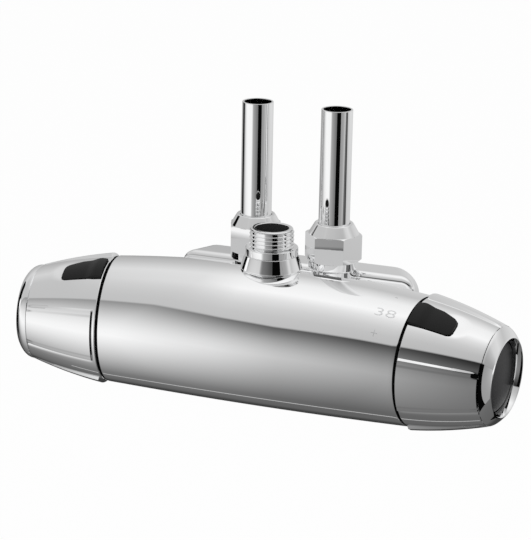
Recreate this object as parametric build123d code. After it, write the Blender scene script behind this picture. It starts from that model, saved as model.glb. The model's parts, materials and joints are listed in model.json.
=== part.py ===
"""Thermostatic shower mixer with a bowed barrel, two end knobs and top pipes.

Frame: origin on the wall plane at mid-width and at the height of the barrel's axis, +X to the
right along the mixer, +Y into the wall, +Z up. Millimetres. The hot side and the flow knob are
on the left, the cold side and the temperature knob on the right.

Each end of the barrel has its own turned frame: its local Z axis is the knob's axis, outwards
from the seam, its local X axis points to the front and its local Y axis points up. Pieces of an
end are drawn in that frame and then set on the left, or mirrored and set on the right.
"""
from build123d import *
import os
from math import atan, cos, radians, sin, tan

os.makedirs("parts", exist_ok=True)

# Barrel
AXIS_TO_WALL = 50.0      # barrel's axis to the wall, at mid-width
SEAM_X = 77.0            # mid-width to the seam's centre
BOW = 5.4                # how far the ends of the axis come forward
END_R = 30.5             # barrel's radius at the seams
BELLY = 3.0              # how much the radius grows at mid-width
SEAM_GAP = 0.8           # dark gap between barrel and knob
END_WALL_R = 27.0        # open mouth in each end of the barrel
MOUTH_DEPTH = 9.0
CROWN_FLAT_DEG = 17.5    # slope of the flat behind the crown, which clears the nuts
CROWN_FLAT_RISE = 31.8   # distance of that flat from the barrel's axis
CHAMBER_R = 22.0         # mixing chamber in the middle of the casting
CHAMBER_WALL = 4.0       # what is left between the chamber and an end bore
PORT_R = 6.0             # port through that wall

# Rear housing and wall side
COVER_CLEAR = 1.5        # gap between the housing's front and the barrel
COVER_DEPTH = AXIS_TO_WALL - END_R - BELLY - COVER_CLEAR
COVER_TOP = 26.0
COVER_HALF_W = 60.5      # at the front; the ends draw in a little towards the wall
COVER_BACK_HALF_W = 58.8
COVER_CORNER = 6.0       # corner radius at the front, which widens towards the wall
COVER_BACK_CORNER = 13.0
COVER_WALL = 2.2
PLATE_T = 3.0            # plate screwed to the wall
PLATE_GAP = 0.2
WALL_SCREW_PITCH = 90.0
WALL_SCREW_R = 2.75       # holes for the wall's screws

# Inlets
PIPE_PITCH = 40.0
PIPE_TO_WALL = 17.0
PIPE_R = 7.5
PIPE_WALL = 1.0
PIPE_TOP = 105.0
NECK_R = 10.2            # threaded neck under the nut
NECK_TOP = 40.0
PIPE_SEAT = 31.0         # where the pipe's end stops in the neck
BLOCK_MARGIN = 3.0       # how far the inlet block reaches past the necks
BLOCK_FOOT = -8.0
FEED_R = 4.0             # drilling from each check valve to the mixing chamber
FEED_RISE = 4.5          # its height above the foot of the valve's bore
FEED_LENGTH = 26.0
NUT_AF = 24.0
NUT_BOTTOM = 27.2
NUT_COLLAR_R = 12.3
NUT_HEX_BOTTOM = 31.6
NUT_HEX_TOP = 44.6
NUT_CONE_R = 11.0        # foot of the cone above the hexagon
NUT_TOP = 49.7
NUT_TOP_R = 9.4
NUT_TURN_DEG = 9.0       # where the nuts came to rest when they were tightened
OLIVE_HEIGHT = 2.3
FIT = 0.05               # sliding fit, on the radius
LOOSE = 0.15             # clearance of parts that are only placed
VALVE_R = 6.6            # check valve's bore in the neck
VALVE_DEPTH = 22.0
VALVE_SEAT_R = 3.4

# Outlet, with its heights measured from the barrel's crown
OUTLET_FORWARD = -2.0    # outlet's axis in front of the barrel's axis
OUTLET_RISE = 19.3
OUTLET_BORE_R = 7.95
OUTLET_THREAD_R = 10.48
COLLAR_R = 12.5
COLLAR_RISE = 10.1
COLLAR_T = 3.5
SKIRT_R = 14.6
SKIRT_RISE = 2.1         # its widest edge
SKIRT_CLEAR = 0.4        # its foot
BOSS_R = 12.2
NIPPLE_SUNK = 9.5        # how deep the nipple is screwed in

# Knobs
KNOB_LENGTH = 38.4
KNOB_R0 = END_R + 0.1    # radius at the seam
KNOB_R1 = KNOB_R0 - 3.0  # radius half-way
KNOB_R2 = KNOB_R0 - 7.9  # radius at the end ring
KNOB_WALL = 2.6
PAD_PROUD = 1.5
PAD_HALF_DEG = 24.0
PAD_PITCH_DEG = 79.0
PAD_START = 2.8
PAD_COUNT = 4
LIP_RISE = 4.4           # how far the end ring stands out from the knob's shell
LIP_R = KNOB_R2 - 4.1
LIP_BORE_R = LIP_R - 1.0
CAP_DEPTH = 4.2          # how deep the dark cap sits behind the lip
TEMP_REST_DEG = -5.0     # the temperature knob rests a little lower than the flow knob

# Button in each knob
BUTTON_DEG = 68.0        # from the front, upwards
BUTTON_LENGTH = 20.4
BUTTON_LOW = 6.3         # half-widths of its outline, below and above its centre line
BUTTON_HIGH = 8.0
BUTTON_END_HIGH = 4.0
BUTTON_DEPTH = 5.0
BUTTON_GAP = 0.3
BUTTON_PROUD = 0.5

# Cartridges, all along a knob's axis
FLOW_BORE_R = 15.0
FLOW_BORE_DEPTH = 36.0
TEMP_BORE_R = 17.0
TEMP_BORE_DEPTH = 46.0
DISC_R = 12.0
DISC_T = 3.0
SPINDLE_R = 5.0
SPINDLE_TIP = 21.0
NECK_BUSH_R = 10.0
BUSH_TOP = 5.0
LOCK_NUT_R = 19.0
LOCK_NUT_T = 5.0
HUB_R = 9.0
HUB_START = 6.0
HUB_FLANGE_Z = 24.6
HUB_FLANGE_T = 2.6
CAP_STEM_R = 7.0
SPOOL_R = 12.0
SPOOL_LENGTH = 9.0
SPOOL_CLEAR = 1.2        # room for the spool's travel at both ends
SPOOL_SEAT = 11.0        # the spool's foot above the floor of its bore
SCREW_REACH = 12.0       # how far the regulating screw goes in behind the mouth
WAX_R = 4.5
WAX_SEAT = 7.0           # the wax element's foot above the floor of its bore
WAX_PIN_LENGTH = 3.0

bow_slope = 2 * BOW / SEAM_X
tilt = atan(bow_slope)
wall_y = 0.0
axis_y = wall_y - AXIS_TO_WALL
pipe_y = wall_y - PIPE_TO_WALL
outlet_y = axis_y - OUTLET_FORWARD
lip_z = KNOB_LENGTH + LIP_RISE
crown_z = END_R + BELLY
outlet_top = crown_z + OUTLET_RISE
collar_top = crown_z + COLLAR_RISE
collar_bottom = collar_top - COLLAR_T
skirt_bottom = crown_z + SKIRT_RISE
skirt_foot = crown_z + SKIRT_CLEAR
nipple_foot = crown_z - NIPPLE_SUNK


def tube(r_out, r_in, z0, z1):
    """A plain ring from z0 to z1."""
    length = z1 - z0
    middle = Pos(0, 0, (z0 + z1) / 2)
    return middle * Cylinder(r_out, length) - middle * Cylinder(r_in, length + 1)


def rod(r, z0, z1):
    """A plain round bar from z0 to z1."""
    return Pos(0, 0, (z0 + z1) / 2) * Cylinder(r, z1 - z0)


def turned(points):
    """A piece turned about Z from (radius, height) points."""
    profile = Plane.XZ * make_face(Polyline([(r, z) for r, z in points], close=True))
    return revolve(profile, Axis.Z, 360)


def end_frame(side):
    """The frame of one end: side is -1 for the left and 1 for the right."""
    return Plane(
        origin=(side * SEAM_X, axis_y - BOW, 0),
        x_dir=(-side * sin(tilt), -cos(tilt), 0),
        z_dir=(side * cos(tilt), -sin(tilt), 0),
    )


def on_end(shape, side):
    """Sets a piece that is drawn for the left end on either end."""
    if side > 0:
        shape = mirror(shape, about=Plane.XZ)
    return end_frame(side) * shape


def barrel(extra=0.0):
    """The bowed barrel as a smooth loft of circles square to its bowed axis."""
    stations = [-1.0, -0.5, 0.0, 0.5, 1.0]
    sections = []
    for t in stations:
        slope = -bow_slope * t
        plane = Plane(
            origin=(t * SEAM_X, axis_y - BOW * t * t, 0),
            x_dir=(0, 0, 1),
            z_dir=(1, slope, 0),
        )
        radius = END_R + BELLY * (1 - t * t) + extra
        sections.append(plane * Circle(radius))
    return loft(sections)


def crown_cut():
    """What is taken off the barrel behind its crown."""
    height = 10.0
    tool = Pos(0, 0, CROWN_FLAT_RISE + height / 2) * Box(2 * SEAM_X, 2 * END_R, height)
    return Pos(0, axis_y, 0) * Rot(-CROWN_FLAT_DEG, 0, 0) * tool


def cover_block(inset):
    """The rear housing's form from the wall to its front, drawn smaller by inset."""
    height = 2 * (COVER_TOP - inset)
    back = RectangleRounded(2 * (COVER_BACK_HALF_W - inset), height, COVER_BACK_CORNER - inset)
    front = RectangleRounded(2 * (COVER_HALF_W - inset), height, COVER_CORNER - inset)
    return loft([Plane.XZ * back, Plane.XZ.offset(COVER_DEPTH - inset) * front])


def inlet_block(extra=0.0, foot=BLOCK_FOOT):
    """The part of the casting that joins the barrel and the two necks, grown by extra."""
    half = PIPE_PITCH / 2 + NECK_R + BLOCK_MARGIN + extra
    top = COVER_TOP - COVER_WALL - 1 + extra
    depth = AXIS_TO_WALL - PLATE_T
    return Pos(0, axis_y + depth / 2, (top + foot) / 2) * Box(2 * half, depth, top - foot)


def at_pipe(side):
    return Pos(side * PIPE_PITCH / 2, pipe_y, 0)


def mixer_body():
    """One casting: barrel, inlet block with two threaded necks, boss under the outlet."""
    body = barrel() - crown_cut() + inlet_block()
    for side in (-1, 1):
        body += at_pipe(side) * rod(NECK_R, 0, NECK_TOP)
    body += Pos(0, outlet_y, 0) * rod(BOSS_R, 0, skirt_foot - LOOSE)
    for side, bore_r, depth in ((-1, FLOW_BORE_R, FLOW_BORE_DEPTH), (1, TEMP_BORE_R, TEMP_BORE_DEPTH)):
        body -= on_end(rod(END_WALL_R, -MOUTH_DEPTH, 1), side)
        body -= on_end(rod(bore_r, -depth, 1), side)
        body -= on_end(rod(PORT_R, -depth - 2 * CHAMBER_WALL, 1), side)
    for side in (-1, 1):
        body -= at_pipe(side) * rod(PIPE_R + FIT, PIPE_SEAT, NECK_TOP + 1)
        body -= at_pipe(side) * rod(VALVE_R, PIPE_SEAT - VALVE_DEPTH, PIPE_SEAT + 1)
        feed_z = PIPE_SEAT - VALVE_DEPTH + FEED_RISE
        feed = Plane(origin=(side * PIPE_PITCH / 2, pipe_y, feed_z), z_dir=(0, -1, 0))
        body -= feed * rod(FEED_R, 0, FEED_LENGTH)
    chamber = Plane(origin=(0, axis_y, 0), z_dir=(1, 0, 0))
    left_end = -SEAM_X + FLOW_BORE_DEPTH + CHAMBER_WALL
    body -= chamber * rod(CHAMBER_R, left_end, SEAM_X - TEMP_BORE_DEPTH - CHAMBER_WALL)
    body -= Pos(0, outlet_y, 0) * rod(OUTLET_THREAD_R - 1 + FIT, nipple_foot, skirt_foot + 1)
    body -= Pos(0, outlet_y, 0) * rod(OUTLET_BORE_R, 0, nipple_foot + 1)
    return body


def wall_cover():
    """Shallow chromed housing on the wall, let down over the necks from above."""
    shell = cover_block(0) - cover_block(COVER_WALL)
    shell -= inlet_block(LOOSE, -COVER_TOP - 1)
    for side in (-1, 1):
        shell -= at_pipe(side) * rod(NECK_R + LOOSE, 0, COVER_TOP + 1)
    return shell


def wall_plate():
    """Steel plate inside the cover, screwed to the wall."""
    slab = Pos(0, -PLATE_T / 2, 0) * Box(2 * COVER_HALF_W, PLATE_T, 2 * COVER_TOP)
    plate = cover_block(COVER_WALL + PLATE_GAP) & slab
    for x in (-WALL_SCREW_PITCH / 2, WALL_SCREW_PITCH / 2):
        plate -= Plane(origin=(x, 0, 0), z_dir=(0, -1, 0)) * rod(WALL_SCREW_R, -1, PLATE_T + 1)
    return plate


def compression_nut():
    """Hexagon nut with a round collar below and a cone above, bored for neck, olive and pipe."""
    hexagon = RegularPolygon(NUT_AF / 2, 6, major_radius=False)
    middle = extrude(Pos(0, 0, NUT_HEX_BOTTOM) * hexagon, NUT_HEX_TOP - NUT_HEX_BOTTOM)
    blank_r = NUT_AF / 2 + 3
    blank = turned([
        (0, NUT_HEX_BOTTOM), (NUT_COLLAR_R, NUT_HEX_BOTTOM), (blank_r, NUT_HEX_BOTTOM + 1.6),
        (blank_r, NUT_HEX_TOP - 1.2), (blank_r - 1.8, NUT_HEX_TOP), (0, NUT_HEX_TOP),
    ])
    nut = middle & blank
    nut += turned([
        (0, NUT_BOTTOM), (NUT_COLLAR_R - 1, NUT_BOTTOM), (NUT_COLLAR_R - 0.3, NUT_BOTTOM + 0.9),
        (NUT_COLLAR_R, NUT_HEX_BOTTOM), (0, NUT_HEX_BOTTOM),
    ])
    nut += turned([(0, NUT_HEX_TOP), (NUT_CONE_R, NUT_HEX_TOP), (NUT_TOP_R, NUT_TOP), (0, NUT_TOP)])
    nut -= rod(NECK_R + FIT, NUT_BOTTOM - 1, NECK_TOP + OLIVE_HEIGHT + 0.3)
    nut -= rod(PIPE_R + LOOSE, NUT_BOTTOM, NUT_TOP + 1)
    return nut


def olive():
    """Brass ring squeezed between neck, nut and pipe."""
    r_in = PIPE_R + FIT
    foot, top = NECK_TOP + 0.1, NECK_TOP + 0.1 + OLIVE_HEIGHT
    return turned([(r_in, foot), (NECK_R - 0.6, foot), (NECK_R - 0.3, foot + 0.8), (NECK_R - 0.9, top),
                   (r_in, top)])


def check_valve(kind):
    """Cup with a seat, a poppet that opens downwards and the spring that closes it."""
    top = PIPE_SEAT - 3.2
    foot = PIPE_SEAT - VALVE_DEPTH + 0.1
    r_in = VALVE_R - 1.2
    if kind == "cage":
        cage = tube(VALVE_R - FIT, r_in, foot, top)
        cage += tube(VALVE_R - FIT, VALVE_SEAT_R, top - 1.6, top)
        return cage + tube(VALVE_R - FIT, 2.4, foot, foot + 1.2)
    if kind == "poppet":
        head = turned([(0, top - 1.7), (r_in - 0.8, top - 1.7), (r_in - 0.8, top - 3.6), (0, top - 3.6)])
        return head + rod(1.4, top - 11.0, top - 3.6)
    return coil(r_in - 1.2, 0.6, foot + 1.3, top - 3.7, 5)


def coil(radius, wire, z0, z1, turns):
    """A closed-form compression spring between two heights."""
    length = z1 - z0 - wire
    path = Helix(pitch=length / turns, height=length, radius=radius, center=(0, 0, z0 + wire / 2))
    section = Plane(origin=path @ 0, z_dir=path % 0) * Circle(wire / 2)
    return sweep(section, path=path)


def outlet_nipple():
    """Threaded outlet, screwed into the boss and shouldered on the skirt."""
    root = OUTLET_THREAD_R - 1
    return turned([
        (OUTLET_BORE_R, nipple_foot + 0.1), (root, nipple_foot + 0.1), (root, collar_bottom),
        (COLLAR_R, collar_bottom), (COLLAR_R, collar_top), (root, collar_top), (root, collar_top + 1.2),
        (OUTLET_THREAD_R, collar_top + 1.2), (OUTLET_THREAD_R, outlet_top - 1), (root, outlet_top),
        (OUTLET_BORE_R, outlet_top),
    ])


def outlet_skirt():
    """Conical chromed sleeve between the nipple's collar and the boss."""
    bore = OUTLET_THREAD_R - 1 + FIT
    top = collar_bottom - 0.02
    return turned([(bore, skirt_foot), (BOSS_R + 0.8, skirt_foot), (SKIRT_R, skirt_bottom), (COLLAR_R, top),
                   (bore, top)])


def knob_radius(z):
    """Radius of the domed form at a distance from the seam."""
    t = z / KNOB_LENGTH
    swell = KNOB_R1 - (KNOB_R0 + KNOB_R2) / 2
    return KNOB_R0 + (KNOB_R2 - KNOB_R0) * t + 4 * swell * t * (1 - t)


def inner_radius(z):
    return knob_radius(z) - KNOB_WALL


def knob_profile(offset, z0, z1):
    """Closed outline of the knob's domed form, offset outwards, as a face in the XZ plane."""
    ends = [(knob_radius(z) + offset, z) for z in (z0, (z0 + z1) / 2, z1)]
    arc = ThreePointArc(*ends)
    top = Line(ends[2], (0, z1))
    spine = Line((0, z1), (0, z0))
    foot = Line((0, z0), ends[0])
    return Plane.XZ * make_face([arc, top, spine, foot])


def dome(offset, z0, z1):
    return revolve(knob_profile(offset, z0, z1), Axis.Z, 360)


def wedge(half_deg, z0, z1):
    """A wedge about local X that keeps only the angles of one pad."""
    reach = 60.0
    half = reach * tan(radians(half_deg))
    triangle = make_face(Polyline([(0, 0), (reach, -half), (reach, half)], close=True))
    return extrude(Pos(0, 0, z0) * triangle, z1 - z0)


def button_outline(grow, first_z):
    """Plan of the button: straight low side, tapered high side, rounded outer end."""
    z_end = first_z + BUTTON_LENGTH + grow
    points = [
        (first_z - grow, -BUTTON_LOW - grow), (z_end - 2.4, -BUTTON_LOW - grow), (z_end, -BUTTON_LOW + 2.4),
        (z_end, BUTTON_END_HIGH - 3), (z_end - 1.8, BUTTON_END_HIGH + grow),
        (z_end - 8, BUTTON_HIGH - 1.4 + grow), (first_z + 3, BUTTON_HIGH + grow),
        (first_z - grow, BUTTON_HIGH - 1 + grow),
    ]
    return make_face(Polyline(points, close=True))


def button_prism(grow, first_z, r0, r1):
    """The button's plan raised from radius r0 to r1 along its own radial direction."""
    plane = Plane(origin=(r0, 0, 0), x_dir=(0, 0, 1), z_dir=(1, 0, 0))
    prism = extrude(plane * mirror(button_outline(grow, first_z), about=Plane.XZ), r1 - r0)
    return Rot(0, 0, BUTTON_DEG) * prism


def button_start(side):
    """The left button keeps a narrow rim before the seam and the right one runs out to it."""
    return 2.2 if side < 0 else SEAM_GAP + 0.1


def knob(side):
    """Domed shell with raised grip pads and an opening for the button."""
    shell = dome(0, SEAM_GAP, KNOB_LENGTH)
    pads = dome(PAD_PROUD, PAD_START, KNOB_LENGTH - 0.2)
    for i in range(PAD_COUNT):
        shell += Rot(0, 0, -i * PAD_PITCH_DEG) * wedge(PAD_HALF_DEG, 0, KNOB_LENGTH) & pads
    shell -= dome(-KNOB_WALL, SEAM_GAP - 0.5, KNOB_LENGTH + 0.5)
    return shell - button_prism(BUTTON_GAP, button_start(side), KNOB_R2 - 6, KNOB_R0 + 8)


def button(side):
    """Black button that follows the knob's surface, with a skirt below it."""
    first = button_start(side)
    top = dome(BUTTON_PROUD, 0, KNOB_LENGTH)
    inner = dome(-BUTTON_DEPTH, -1, KNOB_LENGTH + 1)
    return button_prism(0, first, KNOB_R2 - 6, KNOB_R0 + 8) & (top - inner)


def end_ring():
    """Chromed ring on the knob's outer end: a cone to a rounded lip round a recess."""
    inner = KNOB_R2 - KNOB_WALL - LOOSE
    spigot = KNOB_LENGTH - 3.6
    return turned([
        (LIP_BORE_R, spigot), (inner, spigot), (inner, KNOB_LENGTH + 0.02),
        (KNOB_R2 + 0.2, KNOB_LENGTH + 0.02), (KNOB_R2 + 0.2, KNOB_LENGTH + 0.6), (LIP_R + 0.9, lip_z - 0.9),
        (LIP_R + 0.4, lip_z - 0.2), (LIP_R - 0.1, lip_z), (LIP_BORE_R + 0.2, lip_z - 0.3),
        (LIP_BORE_R, lip_z - 1),
    ])


def end_cap():
    """Dark, slightly domed disc set deep in the end ring, with a stem to the hub."""
    rim_r = LIP_BORE_R - 0.6
    foot = lip_z - CAP_DEPTH - 3
    face = lip_z - CAP_DEPTH
    cap = turned([(0, foot), (rim_r - 1, foot), (rim_r, foot + 0.5), (rim_r, face - 0.8),
                  (rim_r - 0.6, face - 0.3), (rim_r * 0.6, face + 0.5), (0, face + 0.9)])
    return cap + rod(CAP_STEM_R, HUB_FLANGE_Z + HUB_FLANGE_T + 0.1, foot + 0.1)


def hub():
    """Plastic hub: splined on the spindle, with a flange that carries the shell."""
    flange_r = inner_radius(HUB_FLANGE_Z + HUB_FLANGE_T) - LOOSE
    body = tube(HUB_R, SPINDLE_R + FIT, HUB_START, HUB_FLANGE_Z + HUB_FLANGE_T)
    body += tube(flange_r, SPINDLE_R + FIT, HUB_FLANGE_Z, HUB_FLANGE_Z + HUB_FLANGE_T)
    return body


def hub_screw():
    """Screw through the hub into the spindle's tip, under the end cap."""
    head_z = SPINDLE_TIP
    return rod(SPINDLE_R - 0.4, head_z + 0.1, head_z + 3) + rod(1.6, head_z - 8, head_z + 0.2)


def spring_cup():
    """Where the button's spring stands, from the hub's wall to the button's underside."""
    return HUB_R + 0.1, KNOB_R1 - BUTTON_DEPTH - 0.5


def button_spring(side):
    """Compression spring under the button, standing on the hub."""
    r0, r1 = spring_cup()
    z = button_start(side) + BUTTON_LENGTH / 2
    plane = Plane(origin=(0, 0, z), z_dir=(1, 0, 0))
    return Rot(0, 0, BUTTON_DEG) * (plane * coil(2.2, 0.6, r0 + 0.2, r1, 5))


def cartridge(side):
    """Sleeve that closes the end bore and guides the spindle."""
    bore_r, depth = (FLOW_BORE_R, FLOW_BORE_DEPTH) if side < 0 else (TEMP_BORE_R, TEMP_BORE_DEPTH)
    outer = bore_r - FIT
    inner = (DISC_R if side < 0 else SPOOL_R) + FIT
    foot = -depth + 0.1
    shoulder = -MOUTH_DEPTH - 4
    sleeve = turned([
        (inner, foot), (outer, foot), (outer, -MOUTH_DEPTH - 0.1), (NECK_BUSH_R, -MOUTH_DEPTH - 0.1),
        (NECK_BUSH_R, BUSH_TOP), (SPINDLE_R + FIT, BUSH_TOP), (SPINDLE_R + FIT, shoulder), (inner, shoulder),
    ])
    for turn in (0, 180):
        port = Plane(origin=(0, 0, foot + 6), z_dir=(1, 0, 0)) * rod(3.5, inner - 2, outer + 2)
        sleeve -= Rot(0, 0, turn) * port
    return sleeve


def lock_nut():
    """Slotted ring nut that holds a cartridge in the barrel's mouth."""
    nut = tube(LOCK_NUT_R, NECK_BUSH_R + FIT, -MOUTH_DEPTH + 0.05, -MOUTH_DEPTH + LOCK_NUT_T)
    for turn in (0, 90):
        nut -= Rot(0, 0, turn) * Pos(0, 0, -MOUTH_DEPTH + LOCK_NUT_T) * Box(2 * LOCK_NUT_R + 2, 3, 3)
    return nut


def stop_ring():
    """Toothed ring on the bush that limits the knob's turn."""
    ring = tube(NECK_BUSH_R + 5, NECK_BUSH_R + FIT, -MOUTH_DEPTH + LOCK_NUT_T + 0.1, 0.5)
    return ring + Rot(0, 0, 200) * Pos(NECK_BUSH_R + 2.6, 0, 1.5) * Box(3.6, 4, 3)


def flow_discs(kind):
    """Ceramic discs: one fixed at the bore's foot, one that turns on it."""
    foot = -FLOW_BORE_DEPTH + 0.1
    z0 = foot if kind == "fixed" else foot + DISC_T + 0.02
    disc = rod(DISC_R, z0, z0 + DISC_T)
    if kind == "fixed":
        for turn in (0, 180):
            disc -= Rot(0, 0, turn) * Pos(6, 0, z0) * Cylinder(3, 3 * DISC_T)
        return disc
    window = Pos(6, 0, z0) * Box(7, 11, 3 * DISC_T)
    return disc - window


def flow_spindle():
    """Driver fork on the moving disc and the shaft to the knob."""
    top_disc = -FLOW_BORE_DEPTH + 0.1 + 2 * DISC_T + 0.02
    spindle = rod(DISC_R - 0.6, top_disc + 0.02, top_disc + 4) + rod(SPINDLE_R, top_disc + 3, SPINDLE_TIP)
    return spindle - rod(1.65, SPINDLE_TIP - 9, SPINDLE_TIP + 1)


def temp_spindle():
    """Regulating screw from the knob down to the wax element."""
    foot = -MOUTH_DEPTH - SCREW_REACH
    spindle = rod(SPINDLE_R, foot, SPINDLE_TIP) + rod(SPOOL_R - 3, foot, foot + 6)
    return spindle - rod(1.65, SPINDLE_TIP - 9, SPINDLE_TIP + 1)


def spool():
    """Regulating sleeve that slides in the cartridge between the hot and the cold port."""
    z0 = -TEMP_BORE_DEPTH + SPOOL_SEAT
    sleeve = tube(SPOOL_R, SPOOL_R - 1.6, z0, z0 + SPOOL_LENGTH)
    sleeve += tube(SPOOL_R - 1, WAX_R + 2, z0 + 3, z0 + 5)
    for turn in (0, 90):
        sleeve += Rot(0, 0, turn) * Pos(0, 0, z0 + 4) * Box(2 * SPOOL_R - 3, 2.4, 2)
    return sleeve - rod(WAX_R, z0 - 1, z0 + SPOOL_LENGTH + 1)


def wax_element():
    """Expansion element in the middle of the spool, whose pin meets the screw."""
    pin_top = -MOUTH_DEPTH - SCREW_REACH - SPOOL_CLEAR
    pin_foot = pin_top - WAX_PIN_LENGTH
    return rod(WAX_R, -TEMP_BORE_DEPTH + WAX_SEAT, pin_foot) + rod(WAX_R / 3, pin_foot, pin_top)


def return_spring():
    """Spring that pushes the spool back up against the screw."""
    floor = -TEMP_BORE_DEPTH
    return coil(WAX_R + 3, 1.0, floor + 0.2, floor + SPOOL_SEAT - SPOOL_CLEAR, 4)


def write(name, shape):
    export_step(shape, f"parts/{name}.step")


write("mixer_body", mixer_body())
write("wall_cover", wall_cover())
write("wall_plate", wall_plate())
for side, name in ((-1, "hot"), (1, "cold")):
    here = at_pipe(side)
    write(f"{name}_nut", here * Rot(0, 0, side * NUT_TURN_DEG) * compression_nut())
    write(f"{name}_olive", here * olive())
    write(f"{name}_pipe", here * tube(PIPE_R, PIPE_R - PIPE_WALL, PIPE_SEAT + 0.1, PIPE_TOP))
    write(f"{name}_valve_cage", here * check_valve("cage"))
    write(f"{name}_poppet", here * check_valve("poppet"))
    write(f"{name}_valve_spring", here * check_valve("spring"))
write("outlet_nipple", Pos(0, outlet_y, 0) * outlet_nipple())
write("outlet_skirt", Pos(0, outlet_y, 0) * outlet_skirt())
for side, name, rest in ((-1, "flow", 0), (1, "temp", TEMP_REST_DEG)):
    write(f"{name}_knob", on_end(Rot(0, 0, rest) * knob(side), side))
    write(f"{name}_button", on_end(Rot(0, 0, rest) * button(side), side))
    write(f"{name}_button_spring", on_end(Rot(0, 0, rest) * button_spring(side), side))
    write(f"{name}_end_ring", on_end(end_ring(), side))
    write(f"{name}_end_cap", on_end(end_cap(), side))
    write(f"{name}_hub", on_end(hub(), side))
    write(f"{name}_hub_screw", on_end(hub_screw(), side))
    write(f"{name}_cartridge", on_end(cartridge(side), side))
    write(f"{name}_lock_nut", on_end(lock_nut(), side))
    write(f"{name}_stop_ring", on_end(stop_ring(), side))
write("fixed_disc", on_end(flow_discs("fixed"), -1))
write("moving_disc", on_end(flow_discs("moving"), -1))
write("flow_spindle", on_end(flow_spindle(), -1))
write("temp_spindle", on_end(temp_spindle(), 1))
write("mixing_spool", on_end(spool(), 1))
write("wax_element", on_end(wax_element(), 1))
write("return_spring", on_end(return_spring(), 1))
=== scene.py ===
# %% [markdown]
# # A chromed shower mixer under two supply pipes
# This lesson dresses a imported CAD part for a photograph. The CAD model is the fixed frame: it gives
# every size and every moving body. Here the chromed shells are turned, bent and cut again as smooth
# meshes, because a mirror shows every flat of a coarse mesh. The pieces inside keep their CAD meshes.

# %% Load the fixed frame
import json
from math import atan, cos, degrees, pi, radians, sin

import bmesh
import bpy
from mathutils import Matrix, Vector


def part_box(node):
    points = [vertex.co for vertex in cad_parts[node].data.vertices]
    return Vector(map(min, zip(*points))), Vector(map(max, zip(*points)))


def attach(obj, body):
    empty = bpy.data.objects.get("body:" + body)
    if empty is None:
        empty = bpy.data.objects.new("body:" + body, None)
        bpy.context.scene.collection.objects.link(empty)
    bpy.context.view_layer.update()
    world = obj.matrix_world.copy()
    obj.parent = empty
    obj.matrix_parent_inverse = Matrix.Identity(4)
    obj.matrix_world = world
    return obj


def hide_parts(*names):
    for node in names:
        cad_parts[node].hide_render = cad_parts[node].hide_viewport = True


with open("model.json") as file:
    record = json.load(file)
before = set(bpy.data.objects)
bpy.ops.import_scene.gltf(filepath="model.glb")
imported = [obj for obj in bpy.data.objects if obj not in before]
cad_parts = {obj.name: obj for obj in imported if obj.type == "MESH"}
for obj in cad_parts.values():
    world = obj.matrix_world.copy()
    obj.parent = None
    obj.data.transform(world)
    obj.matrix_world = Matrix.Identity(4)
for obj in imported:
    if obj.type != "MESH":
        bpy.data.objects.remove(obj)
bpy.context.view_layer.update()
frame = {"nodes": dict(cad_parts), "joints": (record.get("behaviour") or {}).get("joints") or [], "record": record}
nodes = frame["nodes"]
joints = {joint["name"]: joint for joint in frame["joints"]}

# %% [markdown]
# ## Sizes that the frame gives
# Lengths are in millimetres, as on a drawing, and go to metres only when a mesh is finished. The
# seams, the pipes and the outlet are read from the CAD boxes, and the two knob axes from the joints.

# %% Read the places of the pieces
MM = 0.001


def span(node):
    """Lowest and highest corner of a CAD node, in millimetres."""
    low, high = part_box(node)
    return low / MM, high / MM


pipe_low, pipe_high = span("hot_pipe")
PIPE_R = (pipe_high.x - pipe_low.x) / 2
PIPE_X = -(pipe_high.x + pipe_low.x) / 2
PIPE_Y = (pipe_high.y + pipe_low.y) / 2
PIPE_TOP = pipe_high.z
OUTLET_Y = (span("outlet_nipple")[0].y + span("outlet_nipple")[1].y) / 2
OUTLET_TOP = span("outlet_nipple")[1].z
seam = Vector(joints["temp_turn"]["pos_m"]) / MM
SEAM_X = seam.x
AXIS_Y = -50.0                     # barrel's axis at mid-width
BOW = AXIS_Y - seam.y              # how far the seams come forward
print(f"seams at {SEAM_X:.1f}, bow {BOW:.1f}, pipes {2 * PIPE_R:.1f} wide at {2 * PIPE_X:.1f}")

# %% [markdown]
# ## A small workshop of operators
# Most pieces of a tap are turned, so one helper spins a profile. A full spin merges its first and
# last copy, and vertices that fall together on the axis are merged afterwards, which closes the pole.
# Sharp edges are found by the angle between their faces and get a small round, because a real plated
# edge always catches a line of light.

# %% Turn and clean a mesh
TURN_STEPS = 180


def clean(bm):
    """Merge doubled points, drop what collapsed and turn every face outwards."""
    bmesh.ops.remove_doubles(bm, verts=bm.verts, dist=0.0005)
    bmesh.ops.dissolve_degenerate(bm, edges=bm.edges, dist=0.0001)
    bmesh.ops.recalc_face_normals(bm, faces=bm.faces)


def turned(points, steps=TURN_STEPS, closed=True):
    """Turn a profile of (radius, height) points round Z."""
    bm = bmesh.new()
    verts = [bm.verts.new((r, 0, z)) for r, z in points]
    following = verts[1:] + verts[:1] if closed else verts[1:]
    edges = [bm.edges.new(pair) for pair in zip(verts, following)]
    bmesh.ops.spin(bm, geom=verts + edges, axis=(0, 0, 1), cent=(0, 0, 0), angle=2 * pi, steps=steps,
                   use_merge=True)
    clean(bm)
    return bm


# %% Round the sharp edges
def round_edges(bm, radius, segments=3, sharper_than=28.0, keep=lambda edge: True):
    """Round the edges whose faces meet at more than an angle."""
    sharp = [edge for edge in bm.edges
             if len(edge.link_faces) == 2 and degrees(edge.calc_face_angle(0)) > sharper_than and keep(edge)]
    bmesh.ops.bevel(bm, geom=sharp, offset=radius, offset_type="OFFSET", affect="EDGES", segments=segments,
                    profile=0.5, material=-1, clamp_overlap=True)


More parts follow.
